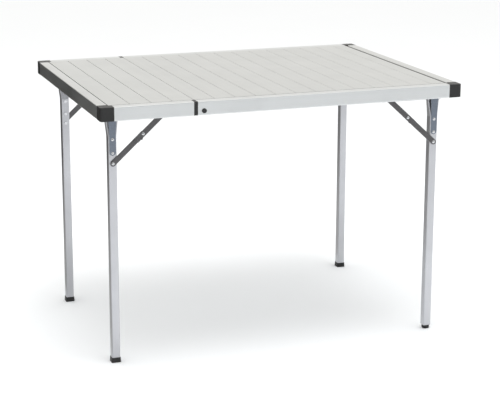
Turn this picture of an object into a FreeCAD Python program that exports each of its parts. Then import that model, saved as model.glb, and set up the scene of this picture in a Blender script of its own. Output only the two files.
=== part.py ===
import FreeCAD, Part

import math
import os
import re

import Sketcher
from FreeCAD import Placement, Rotation, Vector

# Extending picnic table with a slatted aluminium top and four legs that fold under it.
# Millimetres. X runs along the table (its left module slides out towards -X), Y across it
# (the front is -Y), Z up. The origin is on the floor under the middle of the closed table.

LEFT, RIGHT = -1, 1
FRONT, BACK = -1, 1
SIDES = {"front": FRONT, "back": BACK}
ENDS = {"left": LEFT, "right": RIGHT}

DRIVING = {
    "table_length": 990,
    "table_width": 724,
    "table_height": 700,
    # rails
    "rail_width": 27,
    "rail_height": 35.5,
    "rail_wall": 1.6,
    "rail_corner": 2.5,
    "ledge_depth": 9,
    "ledge_thickness": 1.6,
    "end_ledge_depth": 8,
    "gap_ledge_depth": 12,
    "ledge_end_gap": 1,
    # corner caps
    "cap_arm_along": 35.5,
    "cap_arm_side": 34,
    "cap_radius": 6,
    "cap_edge": 1.2,
    "tongue_length": 22,
    "tongue_clearance": 0.4,
    # slats
    "slat_pitch": 55.5,
    "slat_gap": 0.8,
    "slat_thickness": 11.5,
    "slat_wall": 0.9,
    "slat_corner": 1,
    "slat_end_gap": 0.5,
    "end_slat_width": 38.5,
    "leaf_thickness": 8.5,
    "leaf_clearance": 0.5,
    "leaf_length": 648,
    # slide tubes and the joint between the modules
    "split_gap": 0.6,
    "left_collar_width": 8.2,
    "main_collar_width": 1.5,
    "collar_clearance": 0.3,
    "slide_clearance": 0.6,
    "slide_wall": 1.4,
    "slide_corner": 1.8,
    "slide_length": 628,
    "slide_left_inset": 62,
    # lock buttons
    "button_from_split": 18.4,
    "button_drop": 24.3,
    "button_diameter": 12,
    "button_hole_clearance": 0.3,
    "button_proud": 2.2,
    "button_flange_diameter": 13.4,
    "button_flange_thickness": 0.9,
    "button_flange_gap": 0.1,
    "button_plunger_diameter": 9,
    "button_plunger_length": 5,
    "latch_slot_height": 14.4,
    "latch_slot_margin": 12,
    # legs
    "leg_inset": 53.5,
    "left_leg_line": 259.3,
    "right_leg_line": 300.7,
    "pivot_drop": 34,
    "tube_side": 22,
    "tube_wall": 1.5,
    "tube_corner": 3,
    "flare_start_drop": 95,
    "flare_end_drop": 52,
    "head_width": 34,
    "head_thickness": 12,
    "foot_height": 13,
    "foot_top_side": 24,
    "foot_base_side": 25.5,
    "foot_corner": 4,
    "foot_sole": 4,
    "foot_clearance": 0.1,
    "leveller_height": 10.5,
    "leveller_radius": 10.6,
    "leveller_rounding": 4,
    "leveller_gap": 0.1,
    "leveller_stem_diameter": 8,
    "leveller_stem_length": 34,
    "insert_length": 26,
    "insert_bore_clearance": 0.2,
    # folding brace
    "brace_drop": 164.5,
    "brace_angle": 42.4,
    "lower_link_length": 107.8,
    "link_width": 14.5,
    "link_thickness": 2.2,
    "link_gap": 0.3,
    "link_tail": 22.6,
    "dimple_radius": 2.6,
    "ear_from_rivet": 11.6,
    "ear_length": 5,
    "ear_width": 2.6,
    "ear_proud": 1.5,
    # leg bracket
    "bracket_width": 17.2,
    "bracket_thickness": 1.6,
    "bracket_end_drop": 143.5,
    "bracket_flare_start_drop": 88,
    "bracket_flare_end_drop": 50,
    "bracket_head_width": 21,
    "upper_rivet_drop": 101.7,
    "lower_rivet_drop": 137.3,
    # leg channel
    "channel_wall": 1.5,
    "channel_inner_reach": 14,
    "channel_outer_reach": 21,
    "channel_bottom_drop": 44,
    "channel_past_anchor": 14,
    "boss_radius": 9,
    "anchor_boss_radius": 6.5,
    "boss_gap": 0.3,
    # pins and rivets
    "hinge_pin_diameter": 6,
    "rivet_diameter": 5,
    "running_clearance": 0.1,
    "rivet_head_radius": 4.4,
    "rivet_head_height": 2.2,
    "pin_head_radius": 5,
    "pin_head_height": 1.5,
    # leaf carried under the top
    "runner_line": 200,
    "runner_width": 16,
    "runner_height": 8,
    "runner_wall": 1.5,
    "batten_width": 20,
    "batten_length": 440,
    "batten_inset": 45,
}

EXTENSION_SLATS = 4
MAIN_SLATS = 12
LEAF_SLATS = 4


def derived_sizes(size):
    """Sizes that follow from the driving ones."""
    half_width = size["table_width"] / 2
    sine = math.sin(math.radians(size["brace_angle"]))
    cosine = math.cos(math.radians(size["brace_angle"]))
    arm = size["brace_drop"] - size["pivot_drop"]
    folded = arm + size["lower_link_length"]
    # Length of the straight brace for which the lower link lies along the folded leg.
    strut = arm * folded / (cosine * folded + sine * arm - size["lower_link_length"])
    head_radius = size["rivet_head_radius"]
    head_height = size["rivet_head_height"]
    dome_radius = (head_radius**2 + head_height**2) / (2 * head_height)
    side_ledge_reach = size["rail_width"] + size["ledge_depth"] + size["ledge_end_gap"]
    left_end = -size["table_length"] / 2
    split = left_end + size["rail_width"] + size["slat_end_gap"] + EXTENSION_SLATS * size["slat_pitch"]
    derived = {
        "rail_inner_width": size["rail_width"] - 2 * size["rail_wall"],
        "rail_inner_height": size["rail_height"] - 2 * size["rail_wall"],
        "rail_inner_corner": size["rail_corner"] - size["rail_wall"],
        "rail_line": half_width - size["rail_width"] / 2,
        "rail_level": size["table_height"] - size["rail_height"] / 2,
        "end_rail_line": size["table_length"] / 2 - size["rail_width"] / 2,
        "end_rail_length": size["table_width"] - 2 * size["cap_arm_side"],
        "end_ledge_length": size["table_width"] - 2 * side_ledge_reach,
        "split_line": split,
        "left_rail_start": left_end + size["cap_arm_along"],
        "left_rail_end": split - size["split_gap"] / 2 - size["left_collar_width"],
        "main_rail_start": split + size["split_gap"] / 2 + size["main_collar_width"],
        "main_rail_end": size["table_length"] / 2 - size["cap_arm_along"],
        "slat_width": size["slat_pitch"] - size["slat_gap"],
        "slat_length": size["table_width"] - 2 * size["rail_width"] - 2 * size["slat_end_gap"],
        "slat_inner_corner": 0.3,
        "first_slat_edge": left_end + size["rail_width"] + size["slat_end_gap"],
        "button_line": split + size["button_from_split"],
        "button_hole": size["button_diameter"] + size["button_hole_clearance"],
        "tube_inner_side": size["tube_side"] - 2 * size["tube_wall"],
        "tube_inner_corner": size["tube_corner"] - size["tube_wall"],
        "pivot_level": size["table_height"] - size["pivot_drop"],
        "anchor_reach": strut * cosine,
        "anchor_rise": strut * sine - arm,
        "upper_link_length": strut - size["lower_link_length"],
        "stroke": LEAF_SLATS * size["slat_pitch"],
        "leaf_level": size["table_height"] - size["slat_thickness"] - size["leaf_clearance"],
        "dome_radius": dome_radius,
        "dome_start": math.degrees(math.asin((dome_radius - head_height) / dome_radius)),
    }
    inner_width = derived["rail_inner_width"]
    inner_height = derived["rail_inner_height"]
    derived["slide_width"] = inner_width - 2 * size["slide_clearance"]
    derived["slide_height"] = inner_height - 2 * size["slide_clearance"]
    derived["slide_inner_width"] = derived["slide_width"] - 2 * size["slide_wall"]
    derived["slide_inner_height"] = derived["slide_height"] - 2 * size["slide_wall"]
    derived["slide_inner_corner"] = size["slide_corner"] - size["slide_wall"] / 2
    derived["collar_inner_width"] = derived["slide_width"] + 2 * size["collar_clearance"]
    derived["collar_inner_height"] = derived["slide_height"] + 2 * size["collar_clearance"]
    derived["slat_inner_width"] = (derived["slat_width"] - 3 * size["slat_wall"]) / 2
    derived["slat_inner_height"] = size["slat_thickness"] - 2 * size["slat_wall"]
    derived["end_slat_inner_width"] = (size["end_slat_width"] - 3 * size["slat_wall"]) / 2
    derived["leaf_inner_height"] = size["leaf_thickness"] - 2 * size["slat_wall"]
    derived["foot_socket_side"] = size["tube_side"] + size["foot_clearance"]
    return derived


SIZE = dict(DRIVING)
SIZE.update(derived_sizes(DRIVING))

doc = FreeCAD.newDocument("extending_picnic_table")
sheet = doc.addObject("Spreadsheet::Sheet", "sizes")
for row, (alias, number) in enumerate(SIZE.items(), start=1):
    sheet.set(f"A{row}", alias)
    sheet.set(f"B{row}", f"{number:.6g}")
    sheet.setAlias(f"B{row}", alias)
doc.recompute()

sub_parts = []


def qualified(expression):
    """Puts the sheet's name before each alias in an expression."""
    return re.sub(r"[a-z][a-z_]+", lambda found: "sizes." + found.group(0), expression)


def bind(item, path, expression):
    item.setExpression(path, qualified(str(expression)))


def new_body(label):
    body = doc.addObject("PartDesign::Body", label)
    body.Label = label
    return body


def finish(sub_part, x=0, y=0, z=0, rotation=Rotation()):
    """Places a finished sub-part in the table and puts it on the list of files."""
    sub_part.Placement = Placement(Vector(x, y, z), rotation)
    sub_parts.append(sub_part)
    return sub_part


def bind_position(item, place, centre):
    """Binds the position in one of the item's placement properties to three expressions."""
    for axis, expression in zip("xyz", centre):
        bind(item, f"{place}.Base.{axis}", expression)


def block(body, centre, lengths, cut=False):
    """A box feature given by its centre and its three lengths, all expressions."""
    kind = "PartDesign::SubtractiveBox" if cut else "PartDesign::AdditiveBox"
    item = body.newObject(kind, "block")
    for name, expression in zip(("Length", "Width", "Height"), lengths):
        bind(item, name, expression)
    bind_position(item, "Placement", [f"({c}) - ({n}) / 2" for c, n in zip(centre, lengths)])
    return item


AXIS_TURNS = {"Y": Rotation(Vector(1, 0, 0), -90), "Z": Rotation()}


def rod(body, centre, radius, length, axis="Y", cut=False):
    """A cylinder feature along Y or Z, given by its middle; all sizes are expressions."""
    kind = "PartDesign::SubtractiveCylinder" if cut else "PartDesign::AdditiveCylinder"
    item = body.newObject(kind, "rod")
    item.Placement = Placement(Vector(), AXIS_TURNS[axis])
    bind(item, "Radius", radius)
    bind(item, "Height", length)
    start = [str(c) for c in centre]
    along = "XYZ".index(axis)
    start[along] = f"({start[along]}) - ({length}) / 2"
    bind_position(item, "Placement", start)
    return item


def dome(body, base, facing):
    """A rivet's domed head standing on base and facing +Y or -Y."""
    item = body.newObject("PartDesign::AdditiveSphere", "dome")
    item.Placement = Placement(Vector(), Rotation(Vector(1, 0, 0), -90 * facing))
    bind(item, "Radius", "dome_radius")
    bind(item, "Angle1", "dome_start")
    item.Angle2 = 90
    middle = f"({base[1]}) - {facing} * (dome_radius - rivet_head_height)"
    bind_position(item, "Placement", (base[0], middle, base[2]))
    return item


def sketch_on(body, role, offset=("0", "0", "0")):
    """A sketch on one of the body's own origin planes, shifted by expressions."""
    sketch = body.newObject("Sketcher::SketchObject", "outline")
    plane = [feature for feature in body.Origin.OriginFeatures if feature.Role == role][0]
    sketch.AttachmentSupport = [(plane, "")]
    sketch.MapMode = "FlatFace"
    bind_position(sketch, "AttachmentOffset", offset)
    return sketch


def name_datum(sketch, index, name, alias):
    sketch.renameConstraint(index, name)
    bind(sketch, "Constraints." + name, alias)


def rounded_rectangle(sketch, width, height, corner):
    """Draws a rounded rectangle about the sketch's origin, each size bound to an alias."""
    x, y, r = SIZE[width] / 2, SIZE[height] / 2, SIZE[corner]
    lines = (
        ((-x + r, -y), (x - r, -y)),
        ((x, -y + r), (x, y - r)),
        ((x - r, y), (-x + r, y)),
        ((-x, y - r), (-x, -y + r)),
    )
    for start, end in lines:
        sketch.addGeometry(Part.LineSegment(Vector(*start, 0), Vector(*end, 0)))
    corners = ((x - r, -y + r), (x - r, y - r), (-x + r, y - r), (-x + r, -y + r))
    for turn, middle in enumerate(corners):
        circle = Part.Circle(Vector(*middle, 0), Vector(0, 0, 1), r)
        start_angle = math.radians(90 * turn - 90)
        sketch.addGeometry(Part.ArcOfCircle(circle, start_angle, start_angle + math.pi / 2))
    for side in range(4):
        sketch.addConstraint(Sketcher.Constraint("Tangent", side, 2, side + 4, 1))
        sketch.addConstraint(Sketcher.Constraint("Tangent", side + 4, 2, (side + 1) % 4, 1))
    for side in (0, 2):
        sketch.addConstraint(Sketcher.Constraint("Horizontal", side))
        sketch.addConstraint(Sketcher.Constraint("Vertical", side + 1))
    for arc in (5, 6, 7):
        sketch.addConstraint(Sketcher.Constraint("Equal", 4, arc))
    datum = sketch.addConstraint(Sketcher.Constraint("Radius", 4, r))
    name_datum(sketch, datum, "corner", corner)
    datum = sketch.addConstraint(Sketcher.Constraint("DistanceX", 3, 1, 1, 1, 2 * x))
    name_datum(sketch, datum, "width", width)
    datum = sketch.addConstraint(Sketcher.Constraint("DistanceY", 0, 1, 2, 1, 2 * y))
    name_datum(sketch, datum, "height", height)
    sketch.addConstraint(Sketcher.Constraint("Symmetric", 4, 3, 6, 3, -1, 1))


def trapezoid(sketch, lower_width, upper_width, height):
    """Draws a trapezoid standing on the sketch's origin, its lower side on the X axis."""
    low, high, tall = SIZE[lower_width] / 2, SIZE[upper_width] / 2, height[1]
    points = [Vector(-low, 0, 0), Vector(low, 0, 0), Vector(high, tall, 0), Vector(-high, tall, 0)]
    for index in range(4):
        sketch.addGeometry(Part.LineSegment(points[index], points[(index + 1) % 4]))
    for index in range(4):
        sketch.addConstraint(Sketcher.Constraint("Coincident", index, 2, (index + 1) % 4, 1))
    sketch.addConstraint(Sketcher.Constraint("Horizontal", 0))
    sketch.addConstraint(Sketcher.Constraint("Symmetric", 0, 1, 0, 2, -1, 1))
    datum = sketch.addConstraint(Sketcher.Constraint("DistanceX", 0, 1, 0, 2, 2 * low))
    name_datum(sketch, datum, "lower", lower_width)
    datum = sketch.addConstraint(Sketcher.Constraint("DistanceX", 2, 2, 2, 1, 2 * high))
    name_datum(sketch, datum, "upper", upper_width)
    datum = sketch.addConstraint(Sketcher.Constraint("DistanceY", 0, 1, 2, 2, tall))
    name_datum(sketch, datum, "height", height[0])
    sketch.addConstraint(Sketcher.Constraint("Symmetric", 2, 1, 2, 2, -2))


def pad(body, sketch, length, symmetric=True):
    item = body.newObject("PartDesign::Pad", "pad")
    item.Profile = sketch
    if symmetric:
        item.SideType = "Symmetric"
    bind(item, "Length", length)
    return item


def hollow(body, sketch):
    """Cuts a sketched outline right through the body, both ways."""
    before = body.Shape.Volume
    item = body.newObject("PartDesign::Pocket", "hollow")
    item.Profile = sketch
    item.Type = "ThroughAll"
    item.SideType = "Symmetric"
    doc.recompute()
    if body.Shape.Volume >= before:
        raise RuntimeError(f"{body.Label}: the hollow cuts nothing")
    return item


def fillet(body, radius, chosen):
    """Rounds the edges of the body's last feature for which chosen(edge) is true."""
    doc.recompute()
    base = body.Tip
    edges = [f"Edge{number}" for number, edge in enumerate(base.Shape.Edges, 1) if chosen(edge)]
    item = body.newObject("PartDesign::Fillet", "rounding")
    item.Base = (base, edges)
    bind(item, "Radius", radius)
    return item


# --- rails -------------------------------------------------------------------------------


def tube_along_x(label, width, height, corner, inner, length):
    """A hollow rounded box section along X about the body's origin."""
    body = new_body(label)
    outline = sketch_on(body, "YZ_Plane")
    rounded_rectangle(outline, width, height, corner)
    pad(body, outline, length)
    doc.recompute()
    opening = sketch_on(body, "YZ_Plane")
    rounded_rectangle(opening, *inner)
    hollow(body, opening)
    return body


RAIL_INSIDE = ("rail_inner_width", "rail_inner_height", "rail_inner_corner")


def ledge(body, toward, length, depth):
    """A strip along a rail's inner wall that the slats lie on."""
    middle = f"{toward} * (rail_width + {depth} - rail_wall) / 2"
    level = "rail_height / 2 - slat_thickness - ledge_thickness / 2"
    block(body, ("0", middle, level), (length, f"{depth} + rail_wall", "ledge_thickness"))


def side_rail(label, side, start, end, with_button_hole):
    """A front or back rail with the ledge that carries the slats' ends."""
    length = f"{end} - {start}"
    body = tube_along_x(label, "rail_width", "rail_height", "rail_corner", RAIL_INSIDE, length)
    ledge(body, -side, length, "ledge_depth")
    if with_button_hole:
        along = f"button_line - ({start} + {end}) / 2"
        level = "rail_height / 2 - button_drop"
        wall = f"{side} * (rail_width - rail_wall) / 2"
        rod(body, (along, wall, level), "button_hole / 2", "3 * rail_wall", cut=True)
    middle = (SIZE[start] + SIZE[end]) / 2
    return finish(body, middle, side * SIZE["rail_line"], SIZE["rail_level"])


def end_rail(label, end):
    body = tube_along_x(
        label, "rail_width", "rail_height", "rail_corner", RAIL_INSIDE, "end_rail_length"
    )
    # the slats stop short of the right rail, so its ledge reaches farther in to carry them
    depth = "end_ledge_depth" if end == LEFT else "gap_ledge_depth"
    ledge(body, end, "end_ledge_length", depth)
    quarter_turn = Rotation(Vector(0, 0, 1), 90)
    return finish(body, end * SIZE["end_rail_line"], 0, SIZE["rail_level"], quarter_turn)


def is_outer_corner(edge):
    """Picks the upright edge at the cap's outer corner, which is the body's origin."""
    box = edge.BoundBox
    upright = box.ZLength > SIZE["rail_height"] / 2 and box.XLength + box.YLength < 0.01
    return upright and abs(box.XMin) < 0.01 and abs(box.YMin) < 0.01


def is_level_edge(edge):
    """Picks the cap's edges that lie in its top or bottom plane."""
    box = edge.BoundBox
    return box.ZLength < 0.01 and abs(abs(box.ZMin) - SIZE["rail_height"] / 2) < 0.01


def is_tongue_edge(edge):
    """Picks the long edges of a cap's two tongues."""
    box = edge.BoundBox
    inset = SIZE["tongue_clearance"] / 2 + SIZE["rail_wall"]
    level = abs(abs(box.ZMin) - SIZE["rail_height"] / 2 + inset) < 0.01 and box.ZLength < 0.01
    return level and abs(max(box.XLength, box.YLength) - SIZE["tongue_length"]) < 0.01


def corner_cap(label, end, side):
    """An L-shaped moulding whose tongues plug into the two rails that meet at the corner."""
    body = new_body(label)
    along = (f"{-end} * cap_arm_along / 2", f"{-side} * rail_width / 2", "0")
    block(body, along, ("cap_arm_along", "rail_width", "rail_height"))
    across_end = (f"{-end} * rail_width / 2", f"{-side} * cap_arm_side / 2", "0")
    block(body, across_end, ("rail_width", "cap_arm_side", "rail_height"))
    fillet(body, "cap_radius", is_outer_corner)
    fillet(body, "cap_edge", is_level_edge)
    across = "rail_inner_width - tongue_clearance"
    up = "rail_inner_height - tongue_clearance"
    reach = f"{-end} * (cap_arm_along + tongue_length / 2)"
    block(body, (reach, f"{-side} * rail_width / 2", "0"), ("tongue_length", across, up))
    reach = f"{-side} * (cap_arm_side + tongue_length / 2)"
    block(body, (f"{-end} * rail_width / 2", reach, "0"), (across, "tongue_length", up))
    fillet(body, "rail_inner_corner", is_tongue_edge)
    x = end * SIZE["table_length"] / 2
    return finish(body, x, side * SIZE["table_width"] / 2, SIZE["rail_level"])


def collar(label, side, width, inner, middle):
    body = tube_along_x(label, "rail_width", "rail_height", "rail_corner", inner, width)
    return finish(body, middle, side * SIZE["rail_line"], SIZE["rail_level"])


def slide_tube(label, side):
    """The inner tube: fixed in the left rail, it telescopes in the main rail."""
    inner = ("slide_inner_width", "slide_inner_height", "slide_inner_corner")
    body = tube_along_x(label, "slide_width", "slide_height", "slide_corner", inner, "slide_length")
    start = "-table_length / 2 + slide_left_inset"
    slot_length = "stroke + 2 * latch_slot_margin"
    slot_middle = f"button_line + stroke / 2 - ({start} + slide_length / 2)"
    slot_wall = f"{side} * (slide_width - slide_wall) / 2"
    slot_level = "rail_height / 2 - button_drop"
    slot_size = (slot_length, "3 * slide_wall", "latch_slot_height")
    block(body, (slot_middle, slot_wall, slot_level), slot_size, cut=True)
    middle = -SIZE["table_length"] / 2 + SIZE["slide_left_inset"] + SIZE["slide_length"] / 2
    return finish(body, middle, side * SIZE["rail_line"], SIZE["rail_level"])


def lock_button(label, side):
    """A push button in the main rail's outer wall, held by a flange behind the wall."""
    body = new_body(label)
    face_depth = "button_proud + rail_wall"
    middle = f"{side} * (button_proud - ({face_depth}) / 2)"
    rod(body, ("0", middle, "0"), "button_diameter / 2", face_depth)
    flange_middle = f"{-side} * (rail_wall + button_flange_gap + button_flange_thickness / 2)"
    rod(body, ("0", flange_middle, "0"), "button_flange_diameter / 2", "button_flange_thickness")
    plunger_middle = f"{-side} * (rail_wall + button_plunger_length / 2)"
    rod(body, ("0", plunger_middle, "0"), "button_plunger_diameter / 2", "button_plunger_length")
    y = side * SIZE["table_width"] / 2
    return finish(body, SIZE["button_line"], y, SIZE["table_height"] - SIZE["button_drop"])


# --- slats -------------------------------------------------------------------------------


def slat(width, inner_width, thickness, inner_height, length):
    """A two-cell extrusion along Y about its own middle."""
    body = new_body("slat")
    outline = sketch_on(body, "XZ_Plane")
    rounded_rectangle(outline, width, thickness, "slat_corner")
    pad(body, outline, length)
    doc.recompute()
    for cell in (-1, 1):
        shift = (f"{cell} * ({inner_width} + slat_wall) / 2", "0", "0")
        opening = sketch_on(body, "XZ_Plane", shift)
        rounded_rectangle(opening, inner_width, inner_height, "slat_inner_corner")
        hollow(body, opening)
    return body


def slat_row(label, first, count, level, thickness, inner_height, length):
    """A node of equal slats side by side; first is the left edge of the first pitch."""
    pattern = slat("slat_width", "slat_inner_width", thickness, inner_height, length)
    slats = []
    for index in range(count):
        item = doc.addObject("App::Link", "slat")
        item.LinkedObject = pattern
        x = first + (index + 0.5) * SIZE["slat_pitch"]
        item.Placement.Base = Vector(x, 0, level - SIZE[thickness] / 2)
        slats.append(item)
    group = doc.addObject("Part::Compound", label)
    group.Label = label
    group.Links = slats
    return finish(group)


def top_slats(label, first_number, count):
    first = SIZE["first_slat_edge"] + first_number * SIZE["slat_pitch"]
    sizes = ("slat_thickness", "slat_inner_height", "slat_length")
    return slat_row(label, first, count, SIZE["table_height"], *sizes)


def end_slat(label):
    sizes = ("slat_thickness", "slat_inner_height", "slat_length")
    item = slat("end_slat_width", "end_slat_inner_width", *sizes)
    item.Label = label
    slats_before = EXTENSION_SLATS + MAIN_SLATS
    left_edge = SIZE["first_slat_edge"] + slats_before * SIZE["slat_pitch"] + SIZE["slat_gap"] / 2
    x = left_edge + SIZE["end_slat_width"] / 2
    return finish(item, x, 0, SIZE["table_height"] - SIZE["slat_thickness"] / 2)


# --- leaf under the top --------------------------------------------------------------------


def leaf_runners(label):
    """Two inverted channels under the leaf, from the left end rail to the leaf's far edge."""
    body = new_body(label)
    length = "split_line + stroke - slat_gap + table_length / 2 - rail_width"
    middle = "(split_line + stroke - slat_gap - table_length / 2 + rail_width) / 2"
    level = "leaf_level - leaf_thickness - runner_height / 2"
    for side in (FRONT, BACK):
        line = f"{side} * runner_line"
        block(body, (middle, line, level), (length, "runner_width", "runner_height"))
    doc.recompute()
    for side in (FRONT, BACK):
        line = f"{side} * runner_line"
        inside = ("2 * table_length", "runner_width - 2 * runner_wall", "runner_height")
        block(body, (middle, line, f"{level} - runner_wall"), inside, cut=True)
    return finish(body)


def leaf_battens(label):
    """Two cross bars between the left module's slats and the runners."""
    body = new_body(label)
    top = "table_height - slat_thickness"
    tall = f"{top} - leaf_level + leaf_thickness"
    level = f"{top} - ({tall}) / 2"
    for line in (
        "-table_length / 2 + batten_inset",
        "split_line - batten_width",
    ):
        block(body, (line, "0", level), ("batten_width", "batten_length", tall))
    return finish(body)


# --- leg channels ----------------------------------------------------------------------------
# Leg parts are drawn about the leg's hinge pivot. Local X points to the table's middle when
# inward is 1, local Y to the nearer long side when side is 1.


def leg_place(end, side):
    """World place of a leg's hinge pivot."""
    line = SIZE["left_leg_line"] if end == LEFT else SIZE["right_leg_line"]
    x = end * (SIZE["table_length"] / 2 - SIZE["leg_inset"])
    return x, side * line, SIZE["pivot_level"]


def leg_channel(label, end, side):
    """A channel open downwards that holds the leg's hinge pin and the brace's anchor."""
    body = new_body(label)
    inward = -end
    top = "pivot_drop - slat_thickness"
    bottom = "pivot_drop - channel_bottom_drop"
    back = "rail_width - leg_inset + gap_ledge_depth"
    front = "anchor_reach + channel_past_anchor"
    outer = "channel_outer_reach + channel_wall"
    inner = "channel_inner_reach + channel_wall"
    along = f"{inward} * ({front} + {back}) / 2"
    across = f"{side} * ({outer} - ({inner})) / 2"
    tall = f"{top} - ({bottom})"
    height = f"({top} + {bottom}) / 2"
    block(body, (along, across, height), (f"{front} - ({back})", f"{outer} + {inner}", tall))
    clear_across = f"{side} * (channel_outer_reach - channel_inner_reach) / 2"
    clear_size = ("2 * table_length", "channel_outer_reach + channel_inner_reach", tall)
    block(body, (along, clear_across, f"{height} - channel_wall"), clear_size, cut=True)
    # pressed bosses that meet the leg's head and the upper link
    inner_end = "-1 * head_thickness / 2 - boss_gap"
    outer_end = "tube_side / 2 + bracket_thickness + boss_gap"
    anchor_end = "tube_side / 2 + 2 * link_gap + 2 * link_thickness + boss_gap"
    anchor = (f"{inward} * anchor_reach", "anchor_rise")
    for reach, near, far, radius in (
        (("0", "0"), "-1 * channel_inner_reach", inner_end, "boss_radius"),
        (("0", "0"), outer_end, "channel_outer_reach", "boss_radius"),
        (anchor, anchor_end, "channel_outer_reach", "anchor_boss_radius"),
    ):
        middle = f"{side} * ({near} + {far}) / 2"
        rod(body, (reach[0], middle, reach[1]), radius, f"{far} - ({near})")
    wide = "3 * channel_outer_reach"
    rod(body, ("0", "0", "0"), "hinge_pin_diameter / 2", wide, cut=True)
    anchor_middle = f"{side} * channel_outer_reach"
    anchor_hole = "(rivet_diameter + running_clearance) / 2"
    anchor_centre = (anchor[0], anchor_middle, anchor[1])
    rod(body, anchor_centre, anchor_hole, "channel_outer_reach", cut=True)
    return finish(body, *leg_place(end, side))


def hinge_pins(label, end):
    """The two hinge pins of one end's legs, each with a flat head at both sides."""
    body = new_body(label)
    line = "left_leg_line" if end == LEFT else "right_leg_line"
    outer = "channel_outer_reach + channel_wall"
    inner = "channel_inner_reach + channel_wall"
    for side in (FRONT, BACK):
        shank = (f"{side} * ({line} + ({outer} - ({inner})) / 2)", f"{outer} + {inner}")
        rod(body, ("0", shank[0], "0"), "hinge_pin_diameter / 2", shank[1])
        outer_head = f"{side} * ({line} + {outer} + pin_head_height / 2)"
        inner_head = f"{side} * ({line} - ({inner}) - pin_head_height / 2)"
        for middle in (outer_head, inner_head):
            rod(body, ("0", middle, "0"), "pin_head_radius", "pin_head_height")
    x = end * (SIZE["table_length"] / 2 - SIZE["leg_inset"])
    return finish(body, x, 0, SIZE["pivot_level"])


# --- legs --------------------------------------------------------------------------------------


def leg_tube(label, end, side, bottom):
    """A square tube whose top is pressed flat and wide around the hinge hole."""
    body = new_body(label)
    flare_start = "pivot_drop - flare_start_drop"
    straight_bottom = f"{bottom} - table_height + pivot_drop"
    outline = sketch_on(body, "XY_Plane", ("0", "0", straight_bottom))
    rounded_rectangle(outline, "tube_side", "tube_side", "tube_corner")
    length = f"{flare_start} - ({straight_bottom})"
    pad(body, outline, length, symmetric=False)
    doc.recompute()
    opening = sketch_on(body, "XY_Plane", ("0", "0", straight_bottom))
    rounded_rectangle(opening, "tube_inner_side", "tube_inner_side", "tube_inner_corner")
    hollow(body, opening)
    # the head, pressed in from both faces
    lower = sketch_on(body, "XY_Plane", ("0", "0", flare_start))
    rounded_rectangle(lower, "tube_side", "tube_side", "tube_corner")
    upper = sketch_on(body, "XY_Plane", ("0", "0", "pivot_drop - flare_end_drop"))
    rounded_rectangle(upper, "head_width", "head_thickness", "tube_corner")
    loft = body.newObject("PartDesign::AdditiveLoft", "pressed_end")
    loft.Profile = lower
    loft.Sections = [upper]
    loft.Ruled = True
    neck = "flare_end_drop - pivot_drop"
    block(body, ("0", "0", f"-({neck}) / 2"), ("head_width", "head_thickness", neck))
    rod(body, ("0", "0", "0"), "head_width / 2", "head_thickness")
    hole = "(hinge_pin_diameter + running_clearance) / 2"
    rod(body, ("0", "0", "0"), hole, "2 * head_thickness", cut=True)
    for drop in ("brace_drop", "upper_rivet_drop", "lower_rivet_drop"):
        rod(body, ("0", "0", f"pivot_drop - {drop}"), "rivet_diameter / 2", "2 * tube_side", cut=True)
    return finish(body, *leg_place(end, side))


def leg_bracket(label, end, side):
    """A pressed plate on the leg's outer face, spaced off its head at the hinge pin."""
    body = new_body(label)
    face = f"{side} * (tube_side + bracket_thickness) / 2"
    thick = "bracket_thickness"
    end_level = "pivot_drop - bracket_end_drop + bracket_width / 2"
    flare_start = "pivot_drop - bracket_flare_start_drop"
    flare_end = "pivot_drop - bracket_flare_end_drop"
    rod(body, ("0", face, end_level), "bracket_width / 2", thick)
    tongue = f"{flare_start} - ({end_level})"
    tongue_middle = f"({flare_start} + {end_level}) / 2"
    block(body, ("0", face, tongue_middle), ("bracket_width", thick, tongue))
    flare = sketch_on(body, "XZ_Plane", ("0", flare_start, f"-1 * ({face})"))
    height = "bracket_flare_start_drop - bracket_flare_end_drop"
    drawn = SIZE["bracket_flare_start_drop"] - SIZE["bracket_flare_end_drop"]
    trapezoid(flare, "bracket_width", "bracket_head_width", (height, drawn))
    pad(body, flare, thick)
    neck = "bracket_flare_end_drop - pivot_drop"
    block(body, ("0", face, f"({flare_end}) / 2"), ("bracket_head_width", thick, neck))
    rod(body, ("0", face, "0"), "bracket_head_width / 2", thick)
    spacer_line = f"{side} * (tube_side + head_thickness) / 4"
    rod(body, ("0", spacer_line, "0"), "boss_radius", "(tube_side - head_thickness) / 2")
    hole = "(hinge_pin_diameter + running_clearance) / 2"
    rod(body, ("0", face, "0"), hole, "2 * tube_side", cut=True)
    for drop in ("upper_rivet_drop", "lower_rivet_drop"):
        centre = ("0", face, f"pivot_drop - {drop}")
        rod(body, centre, "rivet_diameter / 2", "4 * bracket_thickness", cut=True)
    return finish(body, *leg_place(end, side))


def leg_rivets(label, end, side):
    """Two rivets that hold the bracket and the rivet that the lower link turns on."""
    body = new_body(label)
    inner_face = "-1 * tube_side / 2"
    bracket_face = "tube_side / 2 + bracket_thickness"
    link_face = "tube_side / 2 + 2 * link_gap + link_thickness"
    for drop, outer_face in (
        ("upper_rivet_drop", bracket_face),
        ("lower_rivet_drop", bracket_face),
        ("brace_drop", link_face),
    ):
        level = f"pivot_drop - {drop}"
        middle = f"{side} * ({outer_face} + {inner_face}) / 2"
        rod(body, ("0", middle, level), "rivet_diameter / 2", f"{outer_face} - ({inner_face})")
        dome(body, ("0", f"{side} * ({outer_face})", level), side)
        tail = f"{side} * ({inner_face} - pin_head_height / 2)"
        rod(body, ("0", tail, level), "rivet_head_radius", "pin_head_height")
    return finish(body, *leg_place(end, side))


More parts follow.
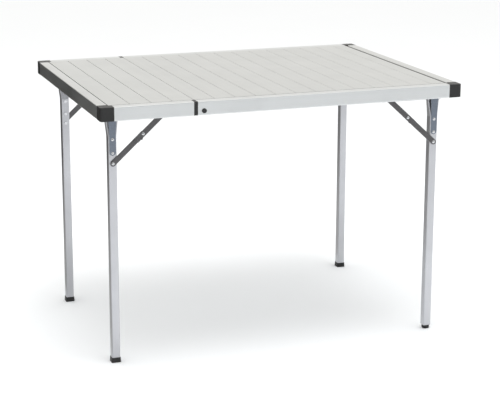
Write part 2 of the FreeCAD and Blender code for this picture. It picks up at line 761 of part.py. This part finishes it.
def foot(label, end, side):
    """A moulded foot, wider at the floor, with a square socket for the tube."""
    body = new_body(label)
    rim = sketch_on(body, "XY_Plane", ("0", "0", "foot_height"))
    rounded_rectangle(rim, "foot_top_side", "foot_top_side", "foot_corner")
    base = sketch_on(body, "XY_Plane")
    rounded_rectangle(base, "foot_base_side", "foot_base_side", "foot_corner")
    loft = body.newObject("PartDesign::AdditiveLoft", "moulding")
    loft.Profile = base
    loft.Sections = [rim]
    loft.Ruled = True
    socket = ("foot_socket_side", "foot_socket_side", "foot_height")
    block(body, ("0", "0", "foot_sole + foot_height / 2"), socket, cut=True)
    x, y, _ = leg_place(end, side)
    return finish(body, x, y, 0)


def leveller_insert(label, end, side):
    """The threaded plug in the front right tube; the levelling foot's stem runs in it."""
    body = new_body(label)
    level = "leveller_height + leveller_gap + insert_length / 2"
    plug = ("tube_inner_side", "tube_inner_side", "insert_length")
    block(body, ("0", "0", level), plug)
    bore = "leveller_stem_diameter / 2 + insert_bore_clearance"
    rod(body, ("0", "0", level), bore, "2 * insert_length", axis="Z", cut=True)
    corners = SIZE["insert_length"] - 0.01

    def is_upright(edge):
        box = edge.BoundBox
        return box.ZLength > corners and abs(abs(box.XMin) - SIZE["tube_inner_side"] / 2) < 0.01

    fillet(body, "tube_inner_corner", is_upright)
    x, y, _ = leg_place(end, side)
    return finish(body, x, y, 0)


def levelling_foot(label, end, side):
    """A round foot on a threaded stem."""
    body = new_body(label)
    rod(body, ("0", "0", "leveller_height / 2"), "leveller_radius", "leveller_height", axis="Z")

    def is_floor_rim(edge):
        box = edge.BoundBox
        return abs(box.ZMin) < 0.01 and box.ZLength < 0.01

    fillet(body, "leveller_rounding", is_floor_rim)
    stem_middle = "leveller_height + leveller_stem_length / 2"
    rod(body, ("0", "0", stem_middle), "leveller_stem_diameter / 2", "leveller_stem_length", axis="Z")
    x, y, _ = leg_place(end, side)
    return finish(body, x, y, 0)


# --- folding braces ------------------------------------------------------------------------------
# A link is drawn along its local X, from the rivet that it hangs on; up is the sign of the
# local Z that faces up on the finished table.


def link_turn(end, angle):
    """Turns local X to the given angle above the inward direction."""
    return Rotation(Vector(0, -1, 0), angle if end == LEFT else 180 - angle)


def link_strip(body, line, start, end_x):
    """A strip with round ends between two local X positions, its middle plane at line."""
    thick = "link_thickness"
    block(body, (f"({start} + {end_x}) / 2", line, "0"), (f"{end_x} - ({start})", thick, "link_width"))
    for x in (start, end_x):
        rod(body, (x, line, "0"), "link_width / 2", thick)


def lower_link(label, end, side):
    body = new_body(label)
    line = f"{side} * (tube_side / 2 + link_gap + link_thickness / 2)"
    link_strip(body, line, "0", "lower_link_length")
    hole = "(rivet_diameter + running_clearance) / 2"
    for x in ("0", "lower_link_length"):
        rod(body, (x, line, "0"), hole, "4 * link_thickness", cut=True)
    x, y, z = leg_place(end, side)
    drop = SIZE["brace_drop"] - SIZE["pivot_drop"]
    return finish(body, x, y, z - drop, link_turn(end, SIZE["brace_angle"]))


UPPER_LINK_LINE = "(tube_side / 2 + 2 * link_gap + 1.5 * link_thickness)"


def anchor_place(end, side):
    x, y, z = leg_place(end, side)
    return x - end * SIZE["anchor_reach"], y, z + SIZE["anchor_rise"]


def upper_link(label, end, side):
    """The strip from the channel to the mid rivet, with a tail that overlaps the lower link."""
    body = new_body(label)
    line = f"{side} * {UPPER_LINK_LINE}"
    link_strip(body, line, "0", "upper_link_length + link_tail")
    for x in ("0", "upper_link_length"):
        rod(body, (x, line, "0"), "rivet_diameter / 2", "4 * link_thickness", cut=True)
    up = 1 if end == RIGHT else -1
    ear_level = f"{-up} * link_width / 2"
    ear_line = f"{side} * ({UPPER_LINK_LINE} + ear_proud / 2)"
    ear_size = ("ear_length", "link_thickness + ear_proud", "ear_width")
    block(body, ("upper_link_length + ear_from_rivet", ear_line, ear_level), ear_size)
    dimple = body.newObject("PartDesign::AdditiveSphere", "dimple")
    bind(dimple, "Radius", "dimple_radius")
    dimple_line = f"{side} * ({UPPER_LINK_LINE} - link_thickness / 2 + dimple_radius / 4)"
    bind_position(dimple, "Placement", ("upper_link_length + link_tail", dimple_line, "0"))
    clear = f"{side} * ({UPPER_LINK_LINE} - link_thickness / 2 - dimple_radius / 2)"
    flat = ("2 * link_width", "dimple_radius", "2 * link_width")
    block(body, ("upper_link_length + link_tail", clear, "0"), flat, cut=True)
    turn = link_turn(end, SIZE["brace_angle"] + 180)
    return finish(body, *anchor_place(end, side), turn)


def upper_link_rivets(label, end, side):
    """The pin that the upper link turns on and the mid rivet in its other end."""
    body = new_body(label)
    inner_face = "tube_side / 2 + 2 * link_gap + link_thickness"
    cheek = "channel_outer_reach + channel_wall + link_gap"
    middle = f"{side} * ({inner_face} + {cheek}) / 2"
    rod(body, ("0", middle, "0"), "rivet_diameter / 2", f"{cheek} - ({inner_face})")
    head_line = f"{side} * ({cheek} + pin_head_height / 2)"
    rod(body, ("0", head_line, "0"), "rivet_head_radius", "pin_head_height")
    outer_face = f"{inner_face} + link_thickness"
    dome(body, ("upper_link_length", f"{side} * ({outer_face})", "0"), side)
    shank = (f"{side} * ({inner_face} + link_thickness / 2)", "link_thickness")
    rod(body, ("upper_link_length", shank[0], "0"), "rivet_diameter / 2", shank[1])
    turn = link_turn(end, SIZE["brace_angle"] + 180)
    return finish(body, *anchor_place(end, side), turn)


# --- the table -----------------------------------------------------------------------------------


def build_table():
    slide_inside = ("slide_width", "slide_height", "slide_corner")
    collar_inside = ("collar_inner_width", "collar_inner_height", "slide_corner")
    left_collar_middle = SIZE["left_rail_end"] + SIZE["left_collar_width"] / 2
    main_collar_middle = SIZE["main_rail_start"] - SIZE["main_collar_width"] / 2
    for name, side in SIDES.items():
        side_rail(f"main_rail_{name}", side, "main_rail_start", "main_rail_end", True)
        side_rail(f"left_rail_{name}", side, "left_rail_start", "left_rail_end", False)
        collar(f"left_collar_{name}", side, "left_collar_width", slide_inside, left_collar_middle)
        collar(f"main_collar_{name}", side, "main_collar_width", collar_inside, main_collar_middle)
        slide_tube(f"slide_tube_{name}", side)
        lock_button(f"lock_button_{name}", side)
        corner_cap(f"corner_cap_{name}_left", LEFT, side)
        corner_cap(f"corner_cap_{name}_right", RIGHT, side)
    for name, end in ENDS.items():
        end_rail(f"end_rail_{name}", end)
        hinge_pins(f"hinge_pins_{name}", end)
    top_slats("slats_extension", 0, EXTENSION_SLATS)
    top_slats("slats_main_left", EXTENSION_SLATS, MAIN_SLATS // 2)
    top_slats("slats_main_right", EXTENSION_SLATS + MAIN_SLATS // 2, MAIN_SLATS // 2)
    end_slat("slat_main_end")
    sizes = ("leaf_thickness", "leaf_inner_height", "leaf_length")
    slat_row("leaf_slats", SIZE["split_line"], LEAF_SLATS, SIZE["leaf_level"], *sizes)
    leaf_runners("leaf_runners")
    leaf_battens("leaf_battens")
    for end_name, end in ENDS.items():
        for side_name, side in SIDES.items():
            corner = f"{side_name}_{end_name}"
            levelled = corner == "front_right"
            leg_channel(f"leg_channel_{corner}", end, side)
            bottom = "leveller_height + leveller_gap" if levelled else "foot_sole"
            leg_tube(f"leg_tube_{corner}", end, side, bottom)
            leg_bracket(f"leg_bracket_{corner}", end, side)
            leg_rivets(f"leg_rivets_{corner}", end, side)
            lower_link(f"brace_lower_link_{corner}", end, side)
            upper_link(f"brace_upper_link_{corner}", end, side)
            upper_link_rivets(f"brace_rivets_{corner}", end, side)
            if levelled:
                leveller_insert(f"leveller_insert_{corner}", end, side)
                levelling_foot(f"levelling_foot_{corner}", end, side)
            else:
                foot(f"foot_{corner}", end, side)


def check_document():
    doc.recompute()
    for item in doc.Objects:
        if "Invalid" in item.State or "Error" in item.State:
            raise RuntimeError(f"{item.Name} did not recompute: {item.State}")
    for sub_part in sub_parts:
        if sub_part.Shape.isNull() or not sub_part.Shape.isValid():
            raise RuntimeError(f"{sub_part.Label} has no valid shape")


def write_parts():
    os.makedirs("parts", exist_ok=True)
    for sub_part in sub_parts:
        sub_part.Shape.exportStep(os.path.join("parts", sub_part.Label + ".step"))


build_table()
check_document()
write_parts()
print(len(sub_parts), "sub-parts written")
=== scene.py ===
import math

import bmesh
import bpy
from mathutils import Matrix, Vector


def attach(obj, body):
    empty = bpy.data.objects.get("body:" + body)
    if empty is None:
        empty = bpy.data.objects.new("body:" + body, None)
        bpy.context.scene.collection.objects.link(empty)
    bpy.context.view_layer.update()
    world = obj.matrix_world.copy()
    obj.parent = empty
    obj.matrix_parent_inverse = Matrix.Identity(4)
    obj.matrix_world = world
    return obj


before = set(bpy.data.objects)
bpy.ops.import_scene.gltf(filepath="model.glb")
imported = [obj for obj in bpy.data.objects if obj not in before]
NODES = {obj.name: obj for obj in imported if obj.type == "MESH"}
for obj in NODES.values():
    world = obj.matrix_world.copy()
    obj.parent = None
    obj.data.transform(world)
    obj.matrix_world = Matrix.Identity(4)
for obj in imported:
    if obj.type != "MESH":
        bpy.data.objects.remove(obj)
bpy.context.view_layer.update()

# ---------------------------------------------------------------- materials


class Shader:
    """A small wrapper that adds nodes to one material and links them."""

    def __init__(self, name):
        self.material = bpy.data.materials.new(name)
        self.material.use_nodes = True
        self.nodes = self.material.node_tree.nodes
        self.links = self.material.node_tree.links
        self.surface = self.nodes["Principled BSDF"]

    def add(self, kind, **settings):
        node = self.nodes.new("ShaderNode" + kind)
        for name, value in settings.items():
            setattr(node, name, value)
        return node

    def link(self, source, target):
        self.links.new(source, target)

    def feed(self, value, socket):
        """Links an output to a socket, or sets the socket to a plain value."""
        if isinstance(value, bpy.types.NodeSocket):
            self.link(value, socket)
        else:
            socket.default_value = value

    def place(self, scale=(1, 1, 1)):
        """The piece's own coordinates, in metres, stretched along each axis."""
        where = self.add("TexCoord")
        mapping = self.add("Mapping")
        mapping.inputs["Scale"].default_value = scale
        self.link(where.outputs["Object"], mapping.inputs["Vector"])
        return mapping.outputs["Vector"]

    def noise(self, vector, scale, detail=3.0, roughness=0.5):
        node = self.add("TexNoise")
        node.inputs["Scale"].default_value = scale
        node.inputs["Detail"].default_value = detail
        node.inputs["Roughness"].default_value = roughness
        self.link(vector, node.inputs["Vector"])
        return node.outputs["Fac"]

    def remap(self, value, low, high, to_low, to_high):
        node = self.add("MapRange")
        self.link(value, node.inputs["Value"])
        for name, number in zip(
            ("From Min", "From Max", "To Min", "To Max"), (low, high, to_low, to_high)
        ):
            node.inputs[name].default_value = number
        return node.outputs["Result"]

    def math(self, operation, first, second):
        node = self.add("Math", operation=operation)
        self.feed(first, node.inputs[0])
        self.feed(second, node.inputs[1])
        return node.outputs[0]

    def mix_color(self, factor, first, second):
        node = self.add("Mix", data_type="RGBA")
        self.feed(factor, node.inputs["Factor"])
        self.feed(first, node.inputs[6])
        self.feed(second, node.inputs[7])
        return node.outputs[2]

    def edges(self, radius, samples=4):
        """0 on flat faces, rising to 1 along convex and concave edges."""
        bevel = self.add("Bevel", samples=samples)
        bevel.inputs["Radius"].default_value = radius
        geometry = self.add("NewGeometry")
        dot = self.add("VectorMath", operation="DOT_PRODUCT")
        self.link(bevel.outputs["Normal"], dot.inputs[0])
        self.link(geometry.outputs["Normal"], dot.inputs[1])
        return self.remap(dot.outputs["Value"], 0.995, 0.8, 0.0, 1.0)

    def crevice_shade(self, distance):
        """Painted shade mask: 0 in the open, rising to 1 deep in gaps and against neighbouring pieces.
        """
        occlusion = self.add("AmbientOcclusion", samples=8)
        occlusion.inputs["Distance"].default_value = distance
        return self.remap(occlusion.outputs["AO"], 0.7, 0.3, 0.0, 1.0)

    def bump(self, height, distance, strength=1.0, rounding=0.0004):
        bump = self.add("Bump")
        bump.inputs["Strength"].default_value = strength
        bump.inputs["Distance"].default_value = distance
        self.link(height, bump.inputs["Height"])
        if rounding:
            bevel = self.add("Bevel", samples=4)
            bevel.inputs["Radius"].default_value = rounding
            self.link(bevel.outputs["Normal"], bump.inputs["Normal"])
        self.link(bump.outputs["Normal"], self.surface.inputs["Normal"])


def grey(value, warmth=0.0):
    return (value * (1 + warmth), value, value * (1 - warmth), 1.0)


def tint(color, factor):
    return tuple(c * factor for c in color[:3]) + (1.0,)


GRAIN_ALONG = {"X": (1.5, 900, 900), "Y": (900, 1.5, 900), "Z": (900, 900, 1.5)}


def brushed_aluminium(name, color, along, roughness=0.34, smudge=0.05, streak=0.035):
    """Anodised extrusion: fine drawn lines, faint broad banding, handling smudges, edges lightened as
    rubbed wear and a painted highlight, and painted shade darkening gaps.
    """
    shader = Shader(name)
    surface = shader.surface
    surface.inputs["Metallic"].default_value = 1.0
    surface.inputs["IOR"].default_value = 1.5
    lines = shader.noise(shader.place(GRAIN_ALONG[along]), 1.0, detail=4.0, roughness=0.7)
    bands = shader.noise(shader.place([n / 12 for n in GRAIN_ALONG[along]]), 1.0, detail=2.0)
    clouds = shader.noise(shader.place(), 9.0, detail=5.0, roughness=0.62)
    shade = shader.math(
        "ADD", shader.math("MULTIPLY", lines, 0.6), shader.math("MULTIPLY", bands, 0.4)
    )
    shade = shader.remap(shade, 0.3, 0.7, 0.0, 1.0)
    base = shader.mix_color(shade, tint(color, 1 - streak), tint(color, 1 + streak))
    dirt = shader.remap(clouds, 0.5, 0.78, 0.0, smudge * 4)
    base = shader.mix_color(dirt, base, tint(color, 0.86))
    # edges lightened towards near white: rubbed wear, and a painted highlight too
    worn_and_highlight = shader.math("MULTIPLY", shader.edges(0.0009), 0.55)
    base = shader.mix_color(worn_and_highlight, base, RUBBED_EDGE_AND_HIGHLIGHT)
    # painted shade: the base colour darkened deep in gaps and against neighbouring pieces
    base = shader.mix_color(shader.crevice_shade(0.008), base, tint(color, 0.08))
    shader.link(base, surface.inputs["Base Color"])
    cloudy = shader.remap(clouds, 0.3, 0.75, roughness - 0.05, roughness + 0.08)
    rough = shader.math("ADD", cloudy, shader.remap(lines, 0.3, 0.7, -0.03, 0.03))
    shader.link(rough, surface.inputs["Roughness"])
    shader.bump(lines, 0.00004, 0.35)
    return shader.material


def plated_steel(name, color, roughness=0.3, mottle=0.12, edge_and_highlight=(0.8, 0.82, 0.85, 1.0), along="Z"):
    """Zinc-plated pressed steel: a soft spangle, rolling lines, and bright sheared edges that are also
    a painted highlight.
    """
    shader = Shader(name)
    surface = shader.surface
    surface.inputs["Metallic"].default_value = 1.0
    spangle = shader.add("TexVoronoi", feature="SMOOTH_F1")
    spangle.inputs["Scale"].default_value = 210.0
    shader.link(shader.place(), spangle.inputs["Vector"])
    clouds = shader.noise(shader.place(), 38.0, detail=5.0, roughness=0.6)
    lines = shader.noise(shader.place([n / 2 for n in GRAIN_ALONG[along]]), 1.0, detail=3.0)
    flakes = shader.math("MULTIPLY", spangle.outputs["Distance"], 0.5)
    tone = shader.math("ADD", flakes, shader.math("MULTIPLY", clouds, 0.7))
    shade = shader.remap(tone, 0.3, 0.85, 0.0, 1.0)
    base = shader.mix_color(shade, tint(color, 1 - mottle), tint(color, 1 + mottle))
    # sheared edges lightened to the edge colour, which is also a painted highlight
    base = shader.mix_color(shader.math("MULTIPLY", shader.edges(0.0006), 0.7), base, edge_and_highlight)
    shader.link(base, surface.inputs["Base Color"])
    rough = shader.remap(clouds, 0.3, 0.75, roughness - 0.06, roughness + 0.1)
    shader.link(rough, surface.inputs["Roughness"])
    shader.bump(lines, 0.00005, 0.3)
    return shader.material


def polished_steel(name, color, roughness=0.14):
    """Rivet heads: bright, with fine turning scratches and small dents, and painted shade in a dark
    ring where they meet their neighbours.
    """
    shader = Shader(name)
    surface = shader.surface
    surface.inputs["Metallic"].default_value = 1.0
    scratches = shader.noise(shader.place(), 1400.0, detail=4.0, roughness=0.7)
    dents = shader.noise(shader.place(), 420.0, detail=2.0)
    shade = shader.remap(dents, 0.35, 0.7, 0.0, 1.0)
    base = shader.mix_color(shade, tint(color, 0.9), tint(color, 1.08))
    # painted shade: the base colour darkened where the head meets its neighbours
    base = shader.mix_color(shader.crevice_shade(0.003), base, tint(color, 0.1))
    shader.link(base, surface.inputs["Base Color"])
    rough = shader.remap(scratches, 0.3, 0.7, roughness - 0.04, roughness + 0.1)
    shader.link(rough, surface.inputs["Roughness"])
    shader.bump(dents, 0.00008, 0.5, rounding=0.0003)
    return shader.material


def moulded_plastic(name, color, roughness=0.46, edge_light=0.045, grain=2600.0):
    """Fine-textured black moulding, a little lighter and smoother where edges are rubbed."""
    shader = Shader(name)
    surface = shader.surface
    surface.inputs["IOR"].default_value = 1.49
    pebble = shader.noise(shader.place(), grain, detail=2.0)
    clouds = shader.noise(shader.place(), 42.0, detail=5.0, roughness=0.6)
    shade = shader.remap(clouds, 0.35, 0.7, 0.0, 1.0)
    base = shader.mix_color(shade, tint(color, 0.8), tint(color, 1.25))
    dust = shader.remap(clouds, 0.6, 0.85, 0.0, 0.35)
    base = shader.mix_color(dust, base, grey(0.06, 0.04))
    base = shader.mix_color(shader.math("MULTIPLY", shader.edges(0.0008), 0.6), base, grey(edge_light))
    shader.link(base, surface.inputs["Base Color"])
    rough = shader.remap(clouds, 0.3, 0.75, roughness - 0.06, roughness + 0.12)
    shader.link(rough, surface.inputs["Roughness"])
    shader.bump(pebble, 0.00005, 0.45, rounding=0.0006)
    return shader.material


def soft_rubber(name, color):
    """A matt extruded strip: faint lines along it, grey where dust has settled."""
    shader = Shader(name)
    surface = shader.surface
    surface.inputs["Specular IOR Level"].default_value = 0.15
    surface.inputs["Roughness"].default_value = 0.85
    lines = shader.noise(shader.place(GRAIN_ALONG["Y"]), 0.6, detail=3.0)
    clouds = shader.noise(shader.place(), 30.0, detail=4.0)
    shade = shader.remap(lines, 0.3, 0.7, 0.0, 1.0)
    base = shader.mix_color(shade, tint(color, 0.8), tint(color, 1.3))
    dust = shader.remap(clouds, 0.55, 0.85, 0.0, 0.25)
    base = shader.mix_color(dust, base, grey(0.05, 0.04))
    shader.link(base, surface.inputs["Base Color"])
    shader.bump(lines, 0.00005, 0.3, rounding=0)
    return shader.material


# the side rails' colour: the same anodised aluminium as the slats and end rails, set lighter and
# cooler as painted light
SIDE_RAIL_LIGHTER_SILVER = (0.66, 0.675, 0.68, 1.0)
SLAT_SILVER = (0.615, 0.625, 0.62, 1.0)
LEG_SILVER = (0.525, 0.53, 0.555, 1.0)
MILL_SILVER = (0.5, 0.505, 0.51, 1.0)
ZINC = (0.36, 0.37, 0.39, 1.0)
BLUE_ZINC = (0.175, 0.198, 0.238, 1.0)
BLACK_ZINC = (0.115, 0.112, 0.115, 1.0)
# bluish light edge colour for the dark links: sheared edges, and a painted highlight too
BLACK_ZINC_EDGE_AND_HIGHLIGHT = (0.5, 0.55, 0.6, 1.0)
RIVET_STEEL = (0.6, 0.61, 0.63, 1.0)
CAP_BLACK = (0.012, 0.012, 0.0125, 1.0)
FOOT_BLACK = (0.014, 0.014, 0.0145, 1.0)
STRIP_BLACK = (0.012, 0.012, 0.012, 1.0)
# near white for the aluminium's edges: rubbed wear, and a painted highlight too
RUBBED_EDGE_AND_HIGHLIGHT = (0.93, 0.93, 0.92, 1.0)

MATERIALS = {
    "slat": brushed_aluminium("slat_anodised", SLAT_SILVER, "Y", roughness=0.42, smudge=0.012),
    "side_rail": brushed_aluminium("side_rail_anodised", SIDE_RAIL_LIGHTER_SILVER, "X", roughness=0.36, smudge=0.08),
    "end_rail": brushed_aluminium("end_rail_anodised", SLAT_SILVER, "Y", roughness=0.36, smudge=0.03),
    "leg": brushed_aluminium("leg_anodised", LEG_SILVER, "Z", roughness=0.33, smudge=0.07),
    "mill": brushed_aluminium("mill_aluminium", MILL_SILVER, "X", roughness=0.3, smudge=0.1),
    "channel": plated_steel("zinc_channel", ZINC, roughness=0.36, along="X"),
    "bracket": plated_steel("zinc_bracket", BLUE_ZINC, roughness=0.3, mottle=0.08),
    "link": plated_steel(
        "dark_zinc_link", BLACK_ZINC, roughness=0.34, mottle=0.16, edge_and_highlight=BLACK_ZINC_EDGE_AND_HIGHLIGHT
    ),
    "rivet": polished_steel("bright_rivet", RIVET_STEEL),
    "cap": moulded_plastic("black_moulding", CAP_BLACK),
    "strip": soft_rubber("black_strip", STRIP_BLACK),
    "foot": moulded_plastic("black_foot", FOOT_BLACK, roughness=0.55, grain=1800.0),
}

MATERIAL_OF_PREFIX = (
    ("slat", "slat"),
    ("leaf_slats", "slat"),
    ("main_rail", "side_rail"),
    ("left_rail", "side_rail"),
    ("end_rail", "end_rail"),
    ("left_collar", "cap"),
    ("main_collar", "cap"),
    ("lock_button", "cap"),
    ("corner_cap", "cap"),
    ("slide_tube", "mill"),
    ("leaf_runners", "mill"),
    ("leaf_battens", "end_rail"),
    ("leg_tube", "leg"),
    ("leg_channel", "channel"),
    ("leg_bracket", "bracket"),
    ("leg_rivets", "rivet"),
    ("brace_rivets", "rivet"),
    ("hinge_pins", "rivet"),
    ("brace_", "link"),
    ("foot", "foot"),
    ("levelling_foot", "foot"),
    ("leveller_insert", "foot"),
)


def material_for(node_name):
    for prefix, key in MATERIAL_OF_PREFIX:
        if node_name.startswith(prefix):
            return MATERIALS[key]
    raise ValueError(node_name)


for node_name, node in NODES.items():
    node.data.materials.clear()
    node.data.materials.append(material_for(node_name))

# ---------------------------------------------------------------- details that ride on the frame


def world_box(node):
    """Lowest and highest corner of one node, in the table's frame."""
    corners = [node.matrix_world @ vertex.co for vertex in node.data.vertices]
    low = Vector(map(min, zip(*corners)))
    high = Vector(map(max, zip(*corners)))
    return low, high


def lofted(name, rings, material, body):
    """A piece skinned over closed rings of as many points each, with capped ends."""
    work = bmesh.new()
    rows = [[work.verts.new(point) for point in ring] for ring in rings]
    count = len(rows[0])
    for row, after in zip(rows, rows[1:]):
        for index in range(count):
            following = (index + 1) % count
            work.faces.new((row[index], row[following], after[following], after[index]))
    work.faces.new(rows[0][::-1])
    work.faces.new(rows[-1])
    bmesh.ops.recalc_face_normals(work, faces=work.faces)
    mesh = bpy.data.meshes.new(name)
    work.to_mesh(mesh)
    work.free()
    mesh.materials.append(MATERIALS[material])
    piece = bpy.data.objects.new(name, mesh)
    bpy.context.scene.collection.objects.link(piece)
    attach(piece, body)
    return piece


STRIP_CLEARANCE = 0.0002
STRIP_RECESS = 0.0016
STRIP_CROWN = 0.0008
CROWN_STEPS = 8
RAIL_LEDGE = 0.012  # how far the right end rail's ledge reaches in past the rail's wall


def make_filler_strip():
    """The black strip, crowned along its length, in the gap before the right end rail."""
    slat_low, slat_high = world_box(NODES["slat_main_end"])
    rail_low, _ = world_box(NODES["end_rail_right"])
    rail_wall = rail_low.x + RAIL_LEDGE
    left = slat_high.x + STRIP_CLEARANCE
    right = rail_wall - STRIP_CLEARANCE
    top = slat_high.z - STRIP_RECESS
    bottom = slat_low.z + STRIP_CLEARANCE
    profile = [(left, bottom), (right, bottom)]
    for step in range(CROWN_STEPS + 1):
        share = step / CROWN_STEPS
        crown = STRIP_CROWN * (math.sin(math.pi * share) - 1)
        profile.append((right + (left - right) * share, top + crown))
    rings = [[(x, y, z) for x, z in profile] for y in (slat_low.y, slat_high.y)]
    lofted("end_gap_strip", rings, "strip", "main_frame")


make_filler_strip()

# ---------------------------------------------------------------- floor, world, lights


FLOOR_REACH = 30
FLOOR_DROP = 0.0002
FLOOR_TONES = ((0.93, 0.95, 0.975, 1.0), (0.945, 0.965, 0.99, 1.0))


def make_floor():
    mesh = bpy.data.meshes.new("floor")
    work = bmesh.new()
    bmesh.ops.create_grid(work, x_segments=2, y_segments=2, size=FLOOR_REACH)
    work.to_mesh(mesh)
    work.free()
    floor = bpy.data.objects.new("floor", mesh)
    bpy.context.scene.collection.objects.link(floor)
    shader = Shader("pale_floor")
    clouds = shader.noise(shader.place(), 1.3, detail=3.0)
    shader.link(shader.mix_color(clouds, *FLOOR_TONES), shader.surface.inputs["Base Color"])
    shader.surface.inputs["Roughness"].default_value = 0.85
    shader.surface.inputs["Specular IOR Level"].default_value = 0.1
    mesh.materials.append(shader.material)
    floor.location.z = -FLOOR_DROP


FLAG_TONE = 0.02
FLAG_FADE_DIRECTION = (-0.7, 0.7, 0.0)
FLAG_FADE_LENGTH = 2.6


def make_flag(name, corners, near_tone=FLAG_TONE):
    """A card that only reflections see, as a studio puts beside bright metal. Its tone runs
    from near_tone beside the table down to FLAG_TONE away behind the table's left end."""
    mesh = bpy.data.meshes.new(name)
    mesh.from_pydata(corners, [], [tuple(range(len(corners)))])
    flag = bpy.data.objects.new(name, mesh)
    bpy.context.scene.collection.objects.link(flag)
    shader = Shader(name)
    away = shader.add("VectorMath", operation="DOT_PRODUCT")
    away.inputs[1].default_value = FLAG_FADE_DIRECTION
    shader.link(shader.place(), away.inputs[0])
    tone = shader.remap(away.outputs["Value"], 0.0, FLAG_FADE_LENGTH, near_tone, FLAG_TONE)
    shader.link(tone, shader.surface.inputs["Base Color"])
    shader.surface.inputs["Roughness"].default_value = 1.0
    shader.surface.inputs["Specular IOR Level"].default_value = 0.0
    mesh.materials.append(shader.material)
    flag.visible_camera = False
    flag.visible_diffuse = False
    flag.visible_shadow = False
    flag.visible_transmission = False


def area_light(name, location, target, size, power, color=(1, 1, 1), mirrored=True):
    """A soft box; one that isn't mirrored lights matt surfaces and leaves no glare on metal."""
    data = bpy.data.lights.new(name, "AREA")
    data.shape = "RECTANGLE"
    data.size, data.size_y = size
    data.energy = power
    data.color = color
    light = bpy.data.objects.new(name, data)
    bpy.context.scene.collection.objects.link(light)
    light.location = location
    aim = Vector(target) - Vector(location)
    light.rotation_euler = aim.to_track_quat("-Z", "Y").to_euler()
    light.visible_glossy = mirrored


WORLD_WHITE = (1.0, 0.985, 0.955, 1.0)
WORLD_DARK = (0.04, 0.045, 0.05, 1.0)
WORLD_STRENGTH = 1.07
DARK_SIDE = (-0.6, -0.8, 0.0)


def smooth_share(tree, value, low, high):
    """Eases from 0 at low to 1 at high."""
    node = tree.nodes.new("ShaderNodeMapRange")
    node.interpolation_type = "SMOOTHSTEP"
    node.inputs["From Min"].default_value = low
    node.inputs["From Max"].default_value = high
    tree.links.new(value, node.inputs["Value"])
    return node.outputs["Result"]


def make_world():
    """White all round, with the dark side of the room low down in front and to the left."""
    world = bpy.data.worlds.new("studio")
    bpy.context.scene.world = world
    world.use_nodes = True
    tree = world.node_tree
    nodes, links = tree.nodes, tree.links
    direction = nodes.new("ShaderNodeTexCoord").outputs["Generated"]
    split = nodes.new("ShaderNodeSeparateXYZ")
    links.new(direction, split.inputs["Vector"])
    side = nodes.new("ShaderNodeVectorMath")
    side.operation = "DOT_PRODUCT"
    side.inputs[1].default_value = DARK_SIDE
    links.new(direction, side.inputs[0])
    both = nodes.new("ShaderNodeMath")
    both.operation = "MULTIPLY"
    links.new(smooth_share(tree, split.outputs["Z"], 0.5, 0.22), both.inputs[0])
    links.new(smooth_share(tree, side.outputs["Value"], 0.0, 0.5), both.inputs[1])
    mix = nodes.new("ShaderNodeMix")
    mix.data_type = "RGBA"
    links.new(both.outputs[0], mix.inputs["Factor"])
    mix.inputs[6].default_value = WORLD_WHITE
    mix.inputs[7].default_value = WORLD_DARK
    links.new(mix.outputs[2], nodes["Background"].inputs["Color"])
    nodes["Background"].inputs["Strength"].default_value = WORLD_STRENGTH


make_floor()
make_world()
# the floor card leaves out the ground that the front faces of the back legs mirror
FLAG_LEVEL = 0.004
FLAG_FLOOR_OUTLINE = ((-3.4, -0.5), (-0.5, -0.5), (-0.5, 0.4), (0.45, 0.4), (0.45, 4.2), (-3.4, 4.2))
make_flag("flag_floor", [(x, y, FLAG_LEVEL) for x, y in FLAG_FLOOR_OUTLINE], near_tone=0.6)
FLAG_HEIGHT = 1.2
FLAG_LEFT, FLAG_RIGHT = (-3.0, 1.5), (-0.7, 2.0)
make_flag(
    "flag_behind_left",
    [(*FLAG_LEFT, 0.0), (*FLAG_RIGHT, 0.0), (*FLAG_RIGHT, FLAG_HEIGHT), (*FLAG_LEFT, FLAG_HEIGHT)],
)
area_light("key", (0.15, -0.35, 3.3), (0, 0, 0.4), (2.4, 1.8), 48, mirrored=False)
area_light("overhead", (-0.3, -0.7, 3.0), (0, 0, 0.6), (1.0, 0.8), 6)
area_light("fill", (1.6, -3.0, 2.6), (0, 0, 0.4), (2.4, 2.0), 12, color=(0.88, 0.94, 1.0))

# ---------------------------------------------------------------- camera

CAMERA_PLACE = (-1.36748, -3.80547, 1.42315)
CAMERA_YAW = 0.3514
CAMERA_PITCH = -0.2338
CAMERA_ROLL = 0.0035
CAMERA_LENS = 106.379
CAMERA_SHIFT_UP = -0.1


def make_camera():
    data = bpy.data.cameras.new("camera")
    data.lens = CAMERA_LENS
    data.sensor_width = 36.0
    data.shift_y = CAMERA_SHIFT_UP
    data.clip_end = 100.0
    camera = bpy.data.objects.new("camera", data)
    bpy.context.scene.collection.objects.link(camera)
    forward = Vector((
        math.sin(CAMERA_YAW) * math.cos(CAMERA_PITCH),
        math.cos(CAMERA_YAW) * math.cos(CAMERA_PITCH),
        math.sin(CAMERA_PITCH),
    ))
    level = Vector((math.cos(CAMERA_YAW), -math.sin(CAMERA_YAW), 0.0))
    upward = level.cross(forward)
    right = math.cos(CAMERA_ROLL) * level + math.sin(CAMERA_ROLL) * upward
    up = -math.sin(CAMERA_ROLL) * level + math.cos(CAMERA_ROLL) * upward
    turn = Matrix((right, up, -forward)).transposed()
    camera.matrix_world = Matrix.Translation(CAMERA_PLACE) @ turn.to_4x4()
    bpy.context.scene.camera = camera


make_camera()
bpy.context.scene.view_settings.view_transform = "Standard"
